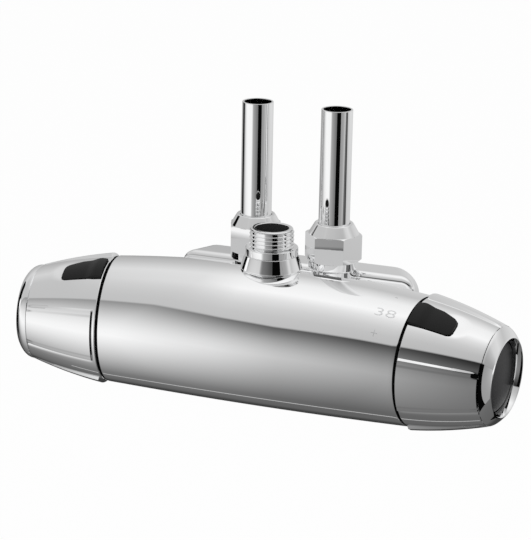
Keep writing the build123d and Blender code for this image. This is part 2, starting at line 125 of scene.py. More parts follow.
# %% Join and finish a mesh
def add(bm, other):
    """Put a second mesh into the first as a separate shell."""
    carrier = bpy.data.meshes.new("carrier")
    other.to_mesh(carrier)
    bm.from_mesh(carrier)
    other.free()
    bpy.data.meshes.remove(carrier)


def piece(name, bm, body, stands_for, slot, *materials, place=Matrix.Identity(4), sharp_deg=40):
    """Make the finished object: in metres, at the origin, shaded smooth, riding on its body."""
    bmesh.ops.transform(bm, matrix=Matrix.Scale(MM, 4) @ place, verts=bm.verts)
    if place.determinant() < 0:
        bmesh.ops.reverse_faces(bm, faces=bm.faces)
    for face in bm.faces:
        face.smooth = True
    mesh = bpy.data.meshes.new(name)
    bm.to_mesh(mesh)
    bm.free()
    mesh.set_sharp_from_angle(angle=radians(sharp_deg))
    for material in materials:
        mesh.materials.append(material)
    made = bpy.data.objects.new(name, mesh)
    bpy.context.scene.collection.objects.link(made)
    weighted = made.modifiers.new("weighted normals", "WEIGHTED_NORMAL")
    weighted.keep_sharp = True
    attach(made, body)
    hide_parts(*stands_for)
    print(f"{name}: {len(mesh.polygons)} faces")


# %% [markdown]
# ## Shader maths as plain expressions
# A material is easier to read as a formula than as a drawing of nodes. This small class wraps one
# socket. Adding, multiplying or comparing such a socket adds the Math node that does it, and every
# other node comes from one method.

# %% Wrap a socket
class Wire:
    """A value in a node tree that can be used in Python expressions."""

    def __init__(self, tree, socket):
        self.tree, self.socket = tree, socket

    def math(self, operation, *others):
        values = [self, *others]
        return Sheet(self.tree).node("ShaderNodeMath", {"operation": operation}, dict(enumerate(values)))

    def __add__(self, other): return self.math("ADD", other)
    def __radd__(self, other): return self.math("ADD", other)
    def __sub__(self, other): return self.math("SUBTRACT", other)
    def __rsub__(self, other): return (self * -1) + other
    def __mul__(self, other): return self.math("MULTIPLY", other)
    def __rmul__(self, other): return self.math("MULTIPLY", other)
    def __truediv__(self, other): return self.math("DIVIDE", other)
    def __gt__(self, other): return self.math("GREATER_THAN", other)
    def __lt__(self, other): return self.math("LESS_THAN", other)


# %% Write on a node tree
class Sheet:
    """A node tree to write on."""

    def __init__(self, tree):
        self.tree = tree

    def node(self, kind, settings=None, inputs=None, output=0):
        """Add a node, apply its settings, then set or link its inputs."""
        made = self.tree.nodes.new(kind)
        for key, value in (settings or {}).items():
            if key == "stops":
                ramp = made.color_ramp
                for at, grey in value[1:-1]:
                    ramp.elements.new(at)
                for element, (at, grey) in zip(ramp.elements, value):
                    element.position = at
                    element.color = (grey, grey, grey, 1) if isinstance(grey, float) else (*grey, 1)
            else:
                setattr(made, key, value)
        for key, value in (inputs or {}).items():
            if isinstance(value, Wire):
                self.tree.links.new(value.socket, made.inputs[key])
            else:
                made.inputs[key].default_value = value
        return Wire(self.tree, made.outputs[output])

    def place(self):
        """The piece's own coordinates, in metres."""
        return self.node("ShaderNodeTexCoord", output="Object")

    def end(self, wire, kind="ShaderNodeOutputMaterial"):
        """Link the finished shader to the tree's output."""
        self.tree.links.new(wire.socket, self.tree.nodes.new(kind).inputs["Surface"])


# %% Shades and surfaces
def tone(shade):
    """The linear light that the screen shows as this shade between 0 and 1."""
    return float(((shade + 0.055) / 1.055) ** 2.4 if shade > 0.04 else shade / 12.92)


def surface(name, base, metallic, roughness, grain=0.0, grain_scale=900.0, gloss=0.5):
    """A principled finish whose roughness wanders a little, as any worked surface does."""
    material = bpy.data.materials.new(name)
    material.use_nodes = True
    material.node_tree.nodes.clear()
    sheet = Sheet(material.node_tree)
    noise = sheet.node("ShaderNodeTexNoise", {}, {"Vector": sheet.place(), "Scale": grain_scale})
    inputs = {"Base Color": (*base, 1), "Metallic": metallic, "Specular IOR Level": gloss,
              "Roughness": (noise - 0.5) * grain + roughness}
    sheet.end(sheet.node("ShaderNodeBsdfPrincipled", {}, inputs))
    return material


# %% [markdown]
# ## Finishes
# Chrome plating is a nearly perfect mirror with a faint cold tint. Polished plate has almost no
# grain, so its roughness is close to nothing and the room does the work. Moulded plastic is the
# opposite: a dark or pale colour, no metal, and a broad dull gloss from its fine texture.

# %% Mix the finishes
chrome = surface("chrome_plate", (0.98, 0.982, 0.985), 1.0, 0.03, 0.02, 60.0)
pipe_chrome = surface("polished_pipe", (0.98, 0.982, 0.985), 1.0, 0.03, 0.02, 80.0)
black_plastic = surface("black_plastic", (0.004, 0.004, 0.004), 0.0, 0.35, 0.1, 1500.0, gloss=0.22)
cap_plastic = surface("dark_satin_cap", (0.012, 0.012, 0.013), 0.0, 0.38, 0.08, 1200.0, gloss=0.3)
# Painted shade: a near-black finish without gloss for the rings that stand for the shade deep in the knob gaps.
gap_shade_black = surface("dark_gap_shade", (0.002, 0.002, 0.002), 0.0, 0.7, 0.1, 900.0, gloss=0.02)
bore_dark = surface("unlit_bore", (0.018, 0.018, 0.018), 0.0, 0.7, 0.1, 900.0)
brass = surface("turned_brass", (0.72, 0.52, 0.24), 1.0, 0.3, 0.12, 700.0)
steel = surface("drawn_steel", (0.6, 0.61, 0.62), 1.0, 0.32, 0.1, 700.0)
white_plastic = surface("white_plastic", (0.78, 0.78, 0.75), 0.0, 0.45, 0.1, 900.0)
ceramic = surface("ground_ceramic", (0.82, 0.8, 0.74), 0.0, 0.22, 0.08, 1500.0)
mark_grey = surface("engraved_mark", (0.74, 0.745, 0.75), 1.0, 0.3, 0.1, 1500.0)
finish_of_slot = {"chrome": chrome, "chrome_pipe": pipe_chrome, "brass": brass, "steel": steel,
                  "black_plastic": black_plastic, "dark_cap": cap_plastic, "white_plastic": white_plastic,
                  "ceramic": ceramic}
print("finishes", [finish.name for finish in (*finish_of_slot.values(), gap_shade_black, bore_dark, mark_grey)])

# %% [markdown]
# ## Pieces that keep their CAD mesh
# Everything inside the barrel and the knobs is already the right shape, so only its finish is set.
# The record names a material slot for each node, and each slot has one of the finishes above.

# %% Give the carried-over nodes their finish
slot_of_node = {part["node"]: part["material_slot"] for part in frame["record"]["subparts"]}
for name, shown in nodes.items():
    shown.data.materials.clear()
    shown.data.materials.append(finish_of_slot[slot_of_node[name]])
print("finishes on", len(nodes), "nodes")

# %% [markdown]
# ## The barrel
# The body is one brass casting, polished and plated. Its outline is a long shallow barrel shape whose
# axis is bowed, so that both knobs point a little towards the user. It is easiest to turn it straight,
# mouths included, and to bend it afterwards: every ring of the turned mesh slides forward by a
# parabola and tips square to the bowed axis.

# %% Turn the barrel and bend it
END_R = 30.5
BELLY = 3.0
MOUTH_R = 27.0
MOUTH_DEPTH = 9.0
BORES = {-1: (15.0, 36.0), 1: (17.0, 46.0)}      # radius and depth of the bore behind each mouth
CROWN_FLAT_DEG = 17.5
CROWN_FLAT_RISE = 31.8
BARREL_STATIONS = 60
MOUTH_ROUND = 0.35


def barrel_radius(x):
    """The barrel's radius at a distance from mid-width."""
    return END_R + BELLY * (1 - (x / SEAM_X) ** 2)


def bend(bm):
    """Bend a straight turned mesh along Z onto the barrel's bowed axis along X."""
    for vert in bm.verts:
        across, up, along = vert.co
        t = along / SEAM_X
        slope = atan(2 * BOW * t / SEAM_X)
        vert.co = (along - across * sin(slope), AXIS_Y - BOW * t * t - across * cos(slope), up)


outline = []
for i in range(BARREL_STATIONS + 1):
    x = -SEAM_X + 2 * SEAM_X * i / BARREL_STATIONS
    outline.append((barrel_radius(x), x))
for side in (1, -1):
    bore_r, bore_depth = BORES[side]
    outline += [(MOUTH_R, side * SEAM_X), (MOUTH_R, side * (SEAM_X - MOUTH_DEPTH)),
                (bore_r, side * (SEAM_X - MOUTH_DEPTH)), (bore_r, side * (SEAM_X - bore_depth))][::side]
barrel = turned(outline, steps=256)
round_edges(barrel, MOUTH_ROUND, 2, keep=lambda edge: edge.verts[0].co.xy.length > MOUTH_R - 0.1)
bend(barrel)
clean(barrel)
print("barrel turned and bent:", len(barrel.faces), "faces")

# %% [markdown]
# Behind its crown the casting is flat, so that the nuts clear it. A plane takes the slice off and the hole
# is filled with one face.

# %% Take the flat off behind the crown
flat_normal = Vector((0, sin(radians(CROWN_FLAT_DEG)), cos(radians(CROWN_FLAT_DEG))))
cut = bmesh.ops.bisect_plane(barrel, geom=barrel.verts[:] + barrel.edges[:] + barrel.faces[:],
                             plane_co=Vector((0, AXIS_Y, 0)) + flat_normal * CROWN_FLAT_RISE,
                             plane_no=flat_normal, clear_outer=True)
rim = [item for item in cut["geom_cut"] if isinstance(item, bmesh.types.BMEdge)]
bmesh.ops.contextual_create(barrel, geom=rim)
bmesh.ops.recalc_face_normals(barrel, faces=barrel.faces)
print("flat edged by", len(rim), "edges")

# %% [markdown]
# The inlets stand on a block at the back of the barrel, with a round neck for each nut, and the outlet
# stands on a low turned boss. They are parts of the same casting, so they are added as further shells
# of the same mesh, sunk into the barrel where they join it.

# %% Add the block, the necks and the boss
BLOCK_HALF = 33.2
BLOCK_TOP = 22.8
BLOCK_FOOT = -8.0
NECK_R = 10.2
NECK_TOP = 40.0
BOSS_R = 12.2
BOSS_TOP = 33.7
OUTLET_BORE = 7.95
NECK_FOOT, BOSS_FOOT = 20, 18      # both feet lie inside the casting
BLOCK_BACK = -3.0
PIPE_FIT = 0.05

block = bmesh.new()
bmesh.ops.create_cube(block, size=1)
middle = Matrix.Translation((0, (AXIS_Y + BLOCK_BACK) / 2, (BLOCK_TOP + BLOCK_FOOT) / 2))
size = Matrix.Diagonal((2 * BLOCK_HALF, BLOCK_BACK - AXIS_Y, BLOCK_TOP - BLOCK_FOOT, 1))
bmesh.ops.transform(block, matrix=middle @ size, verts=block.verts)
round_edges(block, 1.0)
add(barrel, block)
for x in (-PIPE_X, PIPE_X):
    neck = turned([(PIPE_R + PIPE_FIT, NECK_FOOT), (NECK_R, NECK_FOOT), (NECK_R, NECK_TOP),
                   (PIPE_R + PIPE_FIT, NECK_TOP)])
    bmesh.ops.translate(neck, vec=(x, PIPE_Y, 0), verts=neck.verts)
    add(barrel, neck)
boss = turned([(OUTLET_BORE, BOSS_FOOT), (BOSS_R, BOSS_FOOT), (BOSS_R, BOSS_TOP), (OUTLET_BORE, BOSS_TOP)])
bmesh.ops.translate(boss, vec=(0, OUTLET_Y, 0), verts=boss.verts)
add(barrel, boss)
piece("barrel", barrel, "mixer", ["mixer_body"], "chrome", chrome)

# %% [markdown]
# ## The housing on the wall
# A shallow chromed box hides the wall plate. Its front is flat and plumb with fairly square corners,
# and its outline at the wall is rounder and a little narrower. So each outline is drawn as a flat
# rectangle with its corners bevelled, and the two are bridged, as a loft would do on the drawing. The
# front edge is rolled over, which draws the bright line along the top.

# %% Bridge two rounded outlines into the housing
COVER_DEPTH = -span("wall_cover")[0].y
COVER_TOP = span("wall_cover")[1].z
COVER_HALF_W = span("wall_cover")[1].x
COVER_BACK_HALF_W = 58.8
COVER_CORNER, COVER_BACK_CORNER = 6.0, 13.0
COVER_ROLL = 3.6
COVER_WALL = 2.2


def rounded_outline(bm, half_width, half_height, corner, y):
    """The edges of a flat rounded rectangle that stands at a distance from the wall."""
    made = bmesh.ops.create_grid(bm, x_segments=1, y_segments=1, size=1,
                                 matrix=Matrix.Translation((0, y, 0)) @ Matrix.Rotation(radians(90), 4, "X")
                                 @ Matrix.Diagonal((half_width, half_height, 1, 1)))
    before = set(bm.edges) - {edge for vert in made["verts"] for edge in vert.link_edges}
    bmesh.ops.bevel(bm, geom=made["verts"], offset=corner, affect="VERTICES", segments=12, profile=0.5,
                    material=-1)
    return [edge for edge in bm.edges if edge not in before]


cover = bmesh.new()
wall_edges = rounded_outline(cover, COVER_BACK_HALF_W, COVER_TOP, COVER_BACK_CORNER, 0)
front_edges = rounded_outline(cover, COVER_HALF_W, COVER_TOP, COVER_CORNER, -COVER_DEPTH)
open_back = [face for face in cover.faces if face.calc_center_median().y > -1]
bmesh.ops.delete(cover, geom=open_back, context="FACES_ONLY")
bmesh.ops.bridge_loops(cover, edges=wall_edges + front_edges)
bmesh.ops.recalc_face_normals(cover, faces=cover.faces)
round_edges(cover, COVER_ROLL, 5, keep=lambda edge: max(vert.co.y for vert in edge.verts) < -COVER_DEPTH + 0.1)
bmesh.ops.solidify(cover, geom=cover.faces, thickness=COVER_WALL)
bmesh.ops.recalc_face_normals(cover, faces=cover.faces)
piece("housing", cover, "mixer", ["wall_cover"], "chrome", chrome)

# %% [markdown]
# ## Supply pipes
# Each supply is a plain chromed copper tube, cut square. It is turned from a four-cornered profile,
# with a trace of a round on the cut.

# %% Turn the pipes
PIPE_WALL = 1.0
PIPE_FOOT = pipe_low.z

for side, name in ((-1, "hot"), (1, "cold")):
    tube = turned([(PIPE_R - PIPE_WALL, PIPE_FOOT), (PIPE_R, PIPE_FOOT), (PIPE_R, PIPE_TOP),
                   (PIPE_R - PIPE_WALL, PIPE_TOP)])
    round_edges(tube, 0.2, 2)
    piece(f"{name}_supply", tube, "mixer", [f"{name}_pipe"], "chrome_pipe", pipe_chrome,
          place=Matrix.Translation((side * PIPE_X, PIPE_Y, 0)))

# %% [markdown]
# ## Compression nuts
# A hexagon nut is turned first and milled afterwards, and the mesh is made in the same order. The
# turned blank has the chamfers at both ends. Six plane cuts then take off the flats, and each cut is
# filled, so that the curved lines where a flat meets a chamfer come out by themselves.

# %% Turn the blank and cut the flats
NUT_AF = 24.0
NUT_COLLAR_R = 12.3
NUT_BOTTOM, HEX_BOTTOM, HEX_TOP, NUT_TOP = 27.2, 31.6, 44.6, 49.7
NUT_CONE_R, NUT_TOP_R = 12.3, 9.2
NUT_TURN_DEG = 9.0
NUT_ROUND, COLLAR_ROUND, CONE_ROUND = 0.25, 0.3, 0.4
BLANK_R = NUT_AF / 2 + 3

for side, name in ((-1, "hot"), (1, "cold")):
    nut = turned([(PIPE_R, HEX_BOTTOM), (NUT_COLLAR_R, HEX_BOTTOM), (BLANK_R, HEX_BOTTOM + 1.6),
                  (BLANK_R, HEX_TOP - 1.2), (BLANK_R - 1.8, HEX_TOP), (PIPE_R, HEX_TOP)])
    for i in range(6):
        flat_deg = side * NUT_TURN_DEG + 30 + 60 * i
        away = Vector((cos(radians(flat_deg)), sin(radians(flat_deg)), 0))
        cut = bmesh.ops.bisect_plane(nut, geom=nut.verts[:] + nut.edges[:] + nut.faces[:],
                                     plane_co=away * NUT_AF / 2, plane_no=away, clear_outer=True)
        rim = [item for item in cut["geom_cut"] if isinstance(item, bmesh.types.BMEdge)]
        bmesh.ops.edgenet_fill(nut, edges=rim)
    round_edges(nut, NUT_ROUND, 2, sharper_than=18)
    collar = turned([(NECK_R + 0.05, NUT_BOTTOM), (NUT_COLLAR_R - 1, NUT_BOTTOM),
                     (NUT_COLLAR_R - 0.3, NUT_BOTTOM + 0.9), (NUT_COLLAR_R, HEX_BOTTOM + 0.3),
                     (NECK_R + 0.05, HEX_BOTTOM + 0.3)])
    round_edges(collar, COLLAR_ROUND, sharper_than=20)
    add(nut, collar)
    cone = turned([(PIPE_R + 0.15, HEX_TOP - 0.3), (NUT_CONE_R, HEX_TOP - 0.3), (NUT_TOP_R, NUT_TOP),
                   (PIPE_R + 0.15, NUT_TOP)])
    round_edges(cone, CONE_ROUND)
    add(nut, cone)
    piece(f"{name}_union_nut", nut, "mixer", [f"{name}_nut"], "chrome", chrome,
          place=Matrix.Translation((side * PIPE_X, PIPE_Y, 0)))

# %% [markdown]
# ## The threaded outlet
# The outlet is a turned nipple with a collar and a pipe thread of about five turns. A thread is a
# profile of one pitch that climbs by one pitch in each turn: the same spin operator does it when it is
# given a small rise for every step. The ends of the screw are cut level by two planes.

# %% Wind the thread
THREAD_PITCH = 1.814
THREAD_R = 10.48
THREAD_ROOT = 9.35
COLLAR_R = 12.5
COLLAR_TOP, COLLAR_BOTTOM = 43.6, 40.1
NIPPLE_FOOT = 24.2
THREAD_STEPS, THREAD_TURNS = 96, 7
OUTLET_ROUND = 0.3

thread = bmesh.new()
tooth = [(THREAD_ROOT, 0.0), (THREAD_ROOT + 0.18, 0.2), (THREAD_R - 0.16, 0.66), (THREAD_R, 0.84),
         (THREAD_R, 0.97), (THREAD_R - 0.16, 1.15), (THREAD_ROOT + 0.18, 1.61), (THREAD_ROOT, THREAD_PITCH)]
verts = [thread.verts.new((r, 0, z)) for r, z in tooth]
edges = [thread.edges.new(pair) for pair in zip(verts, verts[1:])]
bmesh.ops.spin(thread, geom=verts + edges, axis=(0, 0, 1), cent=(0, 0, 0), angle=2 * pi * THREAD_TURNS,
               steps=THREAD_STEPS * THREAD_TURNS, dvec=(0, 0, THREAD_PITCH / THREAD_STEPS), use_merge=False)
bmesh.ops.remove_doubles(thread, verts=thread.verts, dist=0.001)
bmesh.ops.translate(thread, vec=(0, 0, COLLAR_TOP - 1.5 * THREAD_PITCH), verts=thread.verts)
for height, outward in ((COLLAR_TOP + 0.35, -1), (OUTLET_TOP - 0.55, 1)):
    bmesh.ops.bisect_plane(thread, geom=thread.verts[:] + thread.edges[:] + thread.faces[:],
                           plane_co=(0, 0, height), plane_no=(0, 0, outward), clear_outer=True)
bmesh.ops.recalc_face_normals(thread, faces=thread.faces)
print("thread:", len(thread.faces), "faces")

# %% Turn the nipple and darken its bore
nipple = turned([(OUTLET_BORE, NIPPLE_FOOT), (THREAD_ROOT, NIPPLE_FOOT), (THREAD_ROOT, COLLAR_BOTTOM),
                 (COLLAR_R, COLLAR_BOTTOM), (COLLAR_R, COLLAR_TOP), (THREAD_ROOT + 0.05, COLLAR_TOP),
                 (THREAD_ROOT + 0.05, OUTLET_TOP - 0.56), (THREAD_R - 0.35, OUTLET_TOP - 0.56),
                 (THREAD_ROOT + 0.3, OUTLET_TOP), (OUTLET_BORE, OUTLET_TOP)])
round_edges(nipple, OUTLET_ROUND, keep=lambda edge: edge.verts[0].co.z > COLLAR_BOTTOM - 0.1)
for face in nipple.faces:
    middle = face.calc_center_median()
    if middle.xy.length < OUTLET_BORE + 0.02 and middle.z < OUTLET_TOP - 1.2:
        face.material_index = 1
add(nipple, thread)
piece("threaded_outlet", nipple, "mixer", ["outlet_nipple"], "chrome", chrome, bore_dark,
      place=Matrix.Translation((0, OUTLET_Y, 0)))

# %% [markdown]
# Under the collar sits a plain conical sleeve, wider at its foot, which hides the joint between the
# nipple and the boss.

# %% Turn the sleeve
SLEEVE_R = 14.6
SLEEVE_SEAT, SLEEVE_FOOT, SLEEVE_WIDEST = 33.9, 32.3, 33.6

sleeve = turned([(THREAD_ROOT + 0.1, SLEEVE_SEAT), (BOSS_R + 0.1, SLEEVE_SEAT), (BOSS_R + 0.1, SLEEVE_FOOT),
                 (BOSS_R + 1, SLEEVE_FOOT), (SLEEVE_R, SLEEVE_WIDEST), (COLLAR_R, COLLAR_BOTTOM - 0.02),
                 (THREAD_ROOT + 0.1, COLLAR_BOTTOM - 0.02)])
round_edges(sleeve, OUTLET_ROUND)
piece("outlet_sleeve", sleeve, "mixer", ["outlet_skirt"], "chrome", chrome,
      place=Matrix.Translation((0, OUTLET_Y, 0)))

# %% [markdown]
# ## The knobs
# Each knob is a domed chromed shell with four raised grip pads and an opening for its button. The pads
# are cast with the shell: a steep wall with a hollow fillet under its lower side, a narrow land along
# it, a hardly visible step, and then the pad's broad top, which dies away towards the end ring. So the
# pads are a relief of the dome: one function gives their height at an angle and a distance from the
# seam, and lifts the skin by it.

# %% Give the two ends their places
def end_place(joint):
    """Where an end's own frame stands: X to the front, Y up, Z outwards along the knob's axis."""
    axis = Vector(joint["axis"])
    side = axis.cross(Vector((0, 0, 1)))
    front = side if side.y < 0 else -side
    turn = Matrix((front, Vector((0, 0, 1)), axis)).transposed()
    return Matrix.Translation(Vector(joint["pos_m"]) / MM) @ turn.to_4x4()


REST_TURN_DEG = {"flow": 0, "temp": -5}
end_places = {name: end_place(joints[f"{name}_turn"]) for name in ("flow", "temp")}
knob_places = {name: place @ Matrix.Rotation(radians(REST_TURN_DEG[name]), 4, "Z")
               for name, place in end_places.items()}
for name, place in end_places.items():
    print(name, "end at", [round(v, 1) for v in place.translation])

# %% Sizes and relief of the knobs
DOME_LENGTH = 38.4
KNOB_R0, KNOB_R1, KNOB_R2 = 30.6, 27.6, 22.7    # at the seam, half-way and at the end of the dome
KNOB_LENGTH = 37.9                              # where the end ring begins
KNOB_WALL = 2.6
SEAM_GAP = {"flow": 1.5, "temp": 1.2}
PAD_PROUD, PAD_END_PROUD = 1.5, 0.3
PAD_MIDDLES = (0, -79, -158, 123)
PAD_FOOT_DEG, PAD_WALL_DEG = 25, 23
LAND_DEG, TOP_DEG = 19, 18                      # the small step between land and top
PAD_START = {"flow": 3.0, "temp": 1.4}
WALL_RUN = 0.5
LAND_SHARE = 0.925
FILLET_DEPTH, FILLET_DEG = 0.4, 28.2
LAND_DIP_FROM = 34.5
KNOB_ROWS = 56


def knob_radius(z):
    """Radius of the dome at a distance from the seam."""
    t = z / DOME_LENGTH
    return KNOB_R0 + (KNOB_R2 - KNOB_R0) * t + 4 * (KNOB_R1 - (KNOB_R0 + KNOB_R2) / 2) * t * (1 - t)


def share(value, low, high):
    """How far a value has gone from one limit to the other, kept between 0 and 1."""
    return min(1.0, max(0.0, (value - low) / (high - low)))


def angle_from(co, deg):
    """Angle of a point round the knob from a given middle, in degrees."""
    return (degrees(Vector(co.xy).angle_signed(Vector((1, 0)), 0)) - deg + 180) % 360 - 180


def pad_height(co, start):
    """How far the pads lift the skin at a point."""
    away = min((angle_from(co, middle) for middle in PAD_MIDDLES), key=abs)
    wall = min(share(abs(away), PAD_FOOT_DEG, PAD_WALL_DEG), share(co.z, start, start + WALL_RUN))
    top = share(abs(away), LAND_DEG, TOP_DEG)
    proud = PAD_PROUD + (PAD_END_PROUD - PAD_PROUD) * co.z / KNOB_LENGTH
    dip = share(co.z, LAND_DIP_FROM, KNOB_LENGTH) * (1 - top)
    pad = wall * proud * (LAND_SHARE + (1 - LAND_SHARE) * top) * (1 - dip)
    if away > 0:
        return pad
    hollow = (1 - share(-away, PAD_FOOT_DEG, FILLET_DEG)) ** 2 * share(co.z, start, start + 1.5)
    return pad - (1 - wall) * hollow * FILLET_DEPTH


# %% [markdown]
# The button's plan is a slim shape, straight below, tapered above and rounded at its outer end. It is
# used twice: to cut the opening, slightly larger, and to make the button itself.

# %% Outline of the button
BUTTON_DEG = 68.0
BUTTON_LENGTH = 20.4
BUTTON_LOW, BUTTON_HIGH, BUTTON_END_HIGH = 6.3, 8.0, 4.0
BUTTON_GAP = 0.3
BUTTON_START = {"flow": 2.2, "temp": SEAM_GAP["temp"] + 0.1}
BUTTON_ZONE_DEG = 28                            # the button lies well within this angle of its middle


def button_plan(start, grow=0.0):
    """Corners of the button's plan as (along the knob, across it), counter-clockwise."""
    end = start + BUTTON_LENGTH + grow
    low, high, tip = -BUTTON_LOW - grow, BUTTON_HIGH + grow, BUTTON_END_HIGH + grow
    return [(start - grow, low), (end - 2.4, low), (end - 0.7, low + 0.7), (end, low + 2.4),
            (end, tip - 3), (end - 0.5, tip - 1.2), (end - 1.8, tip), (end - 8, high - 1.4),
            (start + 3, high), (start - grow, high - 1)]


def plan_planes(corners, middle_deg):
    """A plane through each side of the plan, square to it, as (point, outward direction)."""
    middle = radians(middle_deg)
    across = Vector((-sin(middle), cos(middle), 0))
    planes = []
    for (z0, s0), (z1, s1) in zip(corners, corners[1:] + corners[:1]):
        point = across * s0 + Vector((0, 0, z0))
        away = across * -(z1 - z0) + Vector((0, 0, s1 - s0))
        planes.append((point, away.normalized()))
    return planes


def by_button(face):
    """Whether a face lies on the button's side of the knob."""
    return abs(angle_from(face.calc_center_median(), BUTTON_DEG)) < BUTTON_ZONE_DEG


# %% [markdown]
# The dome is spun as a thin skin. A cut along each side of the plan draws the opening on it, the faces
# inside are taken out, and only then the skin gets its thickness, so that the opening has walls.

# %% Spin the dome and cut the opening
def dome(name):
    """The thick shell of one knob in its own frame, with the opening for its button."""
    first, start = SEAM_GAP[name], PAD_START[name]
    rows = [first + 0.3, start, start + WALL_RUN / 2, start + WALL_RUN]
    rows += [rows[-1] + (KNOB_LENGTH - rows[-1]) * i / KNOB_ROWS for i in range(1, KNOB_ROWS + 1)]
    bm = turned([(knob_radius(first) - 0.3, first)] + [(knob_radius(z), z) for z in rows if z >= first + 0.3],
                steps=360, closed=False)
    planes = plan_planes(button_plan(BUTTON_START[name], BUTTON_GAP), BUTTON_DEG)
    for point, away in planes:
        near = [face for face in bm.faces if by_button(face)]
        ring = {item for face in near for item in [*face.verts, *face.edges]}
        bmesh.ops.bisect_plane(bm, geom=list(ring) + near, plane_co=point, plane_no=away)
    inside = [face for face in bm.faces if by_button(face)
              and all((face.calc_center_median() - point).dot(away) < 0 for point, away in planes)]
    bmesh.ops.delete(bm, geom=inside, context="FACES")
    bmesh.ops.recalc_face_normals(bm, faces=bm.faces)
    bmesh.ops.solidify(bm, geom=bm.faces, thickness=KNOB_WALL)
    bmesh.ops.recalc_face_normals(bm, faces=bm.faces)
    return bm


# %% [markdown]
# The skin also sinks a little where the thumb slides off the button. Both reliefs move only the outer
# skin, and the walls of the pads get a fine round at the foot and at the top.

# %% Lift the pads and sink the thumb rest
REST_R, REST_DEPTH = 8.0, 0.9
KNOB_ROUND = 0.16
SKIN_DEPTH = 0.35              # points deeper than this belong to the inside of the shell


def sink(co, start):
    """How far the thumb rest lowers the skin at a point."""
    arc = radians(angle_from(co, BUTTON_DEG)) * knob_radius(co.z)
    off = Vector((co.z - start - BUTTON_LENGTH + 1, arc - 0.5)).length
    return REST_DEPTH * (1 - share(off, 0, REST_R) ** 2) ** 2


for name in ("flow", "temp"):
    shell = dome(name)
    skin = [vert for vert in shell.verts if vert.co.xy.length > knob_radius(vert.co.z) - SKIN_DEPTH]
    print("skin points to move:", len(skin))
    for vert in skin:
        lift = pad_height(vert.co, PAD_START[name]) - sink(vert.co, BUTTON_START[name])
        vert.co += Vector((vert.co.x, vert.co.y, 0)).normalized() * lift
    round_edges(shell, KNOB_ROUND, 2, sharper_than=22, keep=lambda edge: all(
        vert.co.xy.length > knob_radius(vert.co.z) - SKIN_DEPTH - 0.1 for vert in edge.verts))
    piece(f"{name}_grip", shell, f"{name}_knob_body", [f"{name}_knob"], "chrome", chrome,
          place=knob_places[name], sharp_deg=32)

# %% [markdown]
# A near-black ring fills the narrow gap between the barrel and each knob. It is painted shade, a dark
# sheet that stands for the shade deep in the gap. It stays with the barrel.

# %% Lay the rings of painted gap shade into the gaps
GAP_SHADE_R = 29.9
for name in ("flow", "temp"):
    gap_shade_ring = turned([(MOUTH_R + 0.1, 0.02), (GAP_SHADE_R, 0.02), (GAP_SHADE_R, SEAM_GAP[name] - 0.15),
                         (MOUTH_R + 0.1, SEAM_GAP[name] - 0.15)])
    piece(f"{name}_gap_shade", gap_shade_ring, "mixer", ["mixer_body"], "black_plastic", gap_shade_black,
          place=end_places[name])

# %% [markdown]
# ## The buttons
# A button is a block of the same plan whose top follows the dome, half a millimetre proud. A flat
# plate of faces with that outline is cut from a slightly larger dome and given a depth. Its end near
# the seam rises over a facet, which stops the thumb.

# %% Lay the button on the dome
BUTTON_PROUD = 0.5
BUTTON_DEPTH = 5.0
BUTTON_ROUND = 0.5
BUTTON_ROWS = 24
FACET_RISE, FACET_FROM, FACET_TO = 0.9, 4.5, 8.0     # how far the high end rises, and where the facet lies
for name in ("flow", "temp"):
    start = BUTTON_START[name]
    heights = [start + BUTTON_LENGTH * i / BUTTON_ROWS for i in range(BUTTON_ROWS + 1)]
    bm = turned([(knob_radius(z) + BUTTON_PROUD + FACET_RISE * share(z - start, FACET_TO, FACET_FROM), z)
                 for z in heights], steps=360, closed=False)
    for point, away in plan_planes(button_plan(start), BUTTON_DEG):
        bmesh.ops.bisect_plane(bm, geom=bm.verts[:] + bm.edges[:] + bm.faces[:], plane_co=point,
                               plane_no=away, clear_outer=True)
    across = Vector((cos(radians(BUTTON_DEG)), sin(radians(BUTTON_DEG)), 0))
    bmesh.ops.delete(bm, geom=[vert for vert in bm.verts if vert.co.dot(across) < 0], context="VERTS")
    bmesh.ops.recalc_face_normals(bm, faces=bm.faces)
    grown = bmesh.ops.extrude_face_region(bm, geom=bm.faces[:])["geom"]
    foot = [item for item in grown if isinstance(item, bmesh.types.BMVert)]
    bmesh.ops.translate(bm, vec=across * -BUTTON_DEPTH, verts=foot)
    bmesh.ops.recalc_face_normals(bm, faces=bm.faces)
    round_edges(bm, BUTTON_ROUND, sharper_than=35)
    piece(f"{name}_push_button", bm, f"{name}_button_body", [f"{name}_button"], "black_plastic",
          black_plastic, place=knob_places[name])

# %% [markdown]
# ## End rings and caps
# The outer end of each knob is a separate turned ring that carries the dome's curve on to a bright
# rounded lip. Inside the lip a funnel drops to the cap, a satin disc with a very slight dome. The ring
# of the flow side is a little longer and fuller than the other.

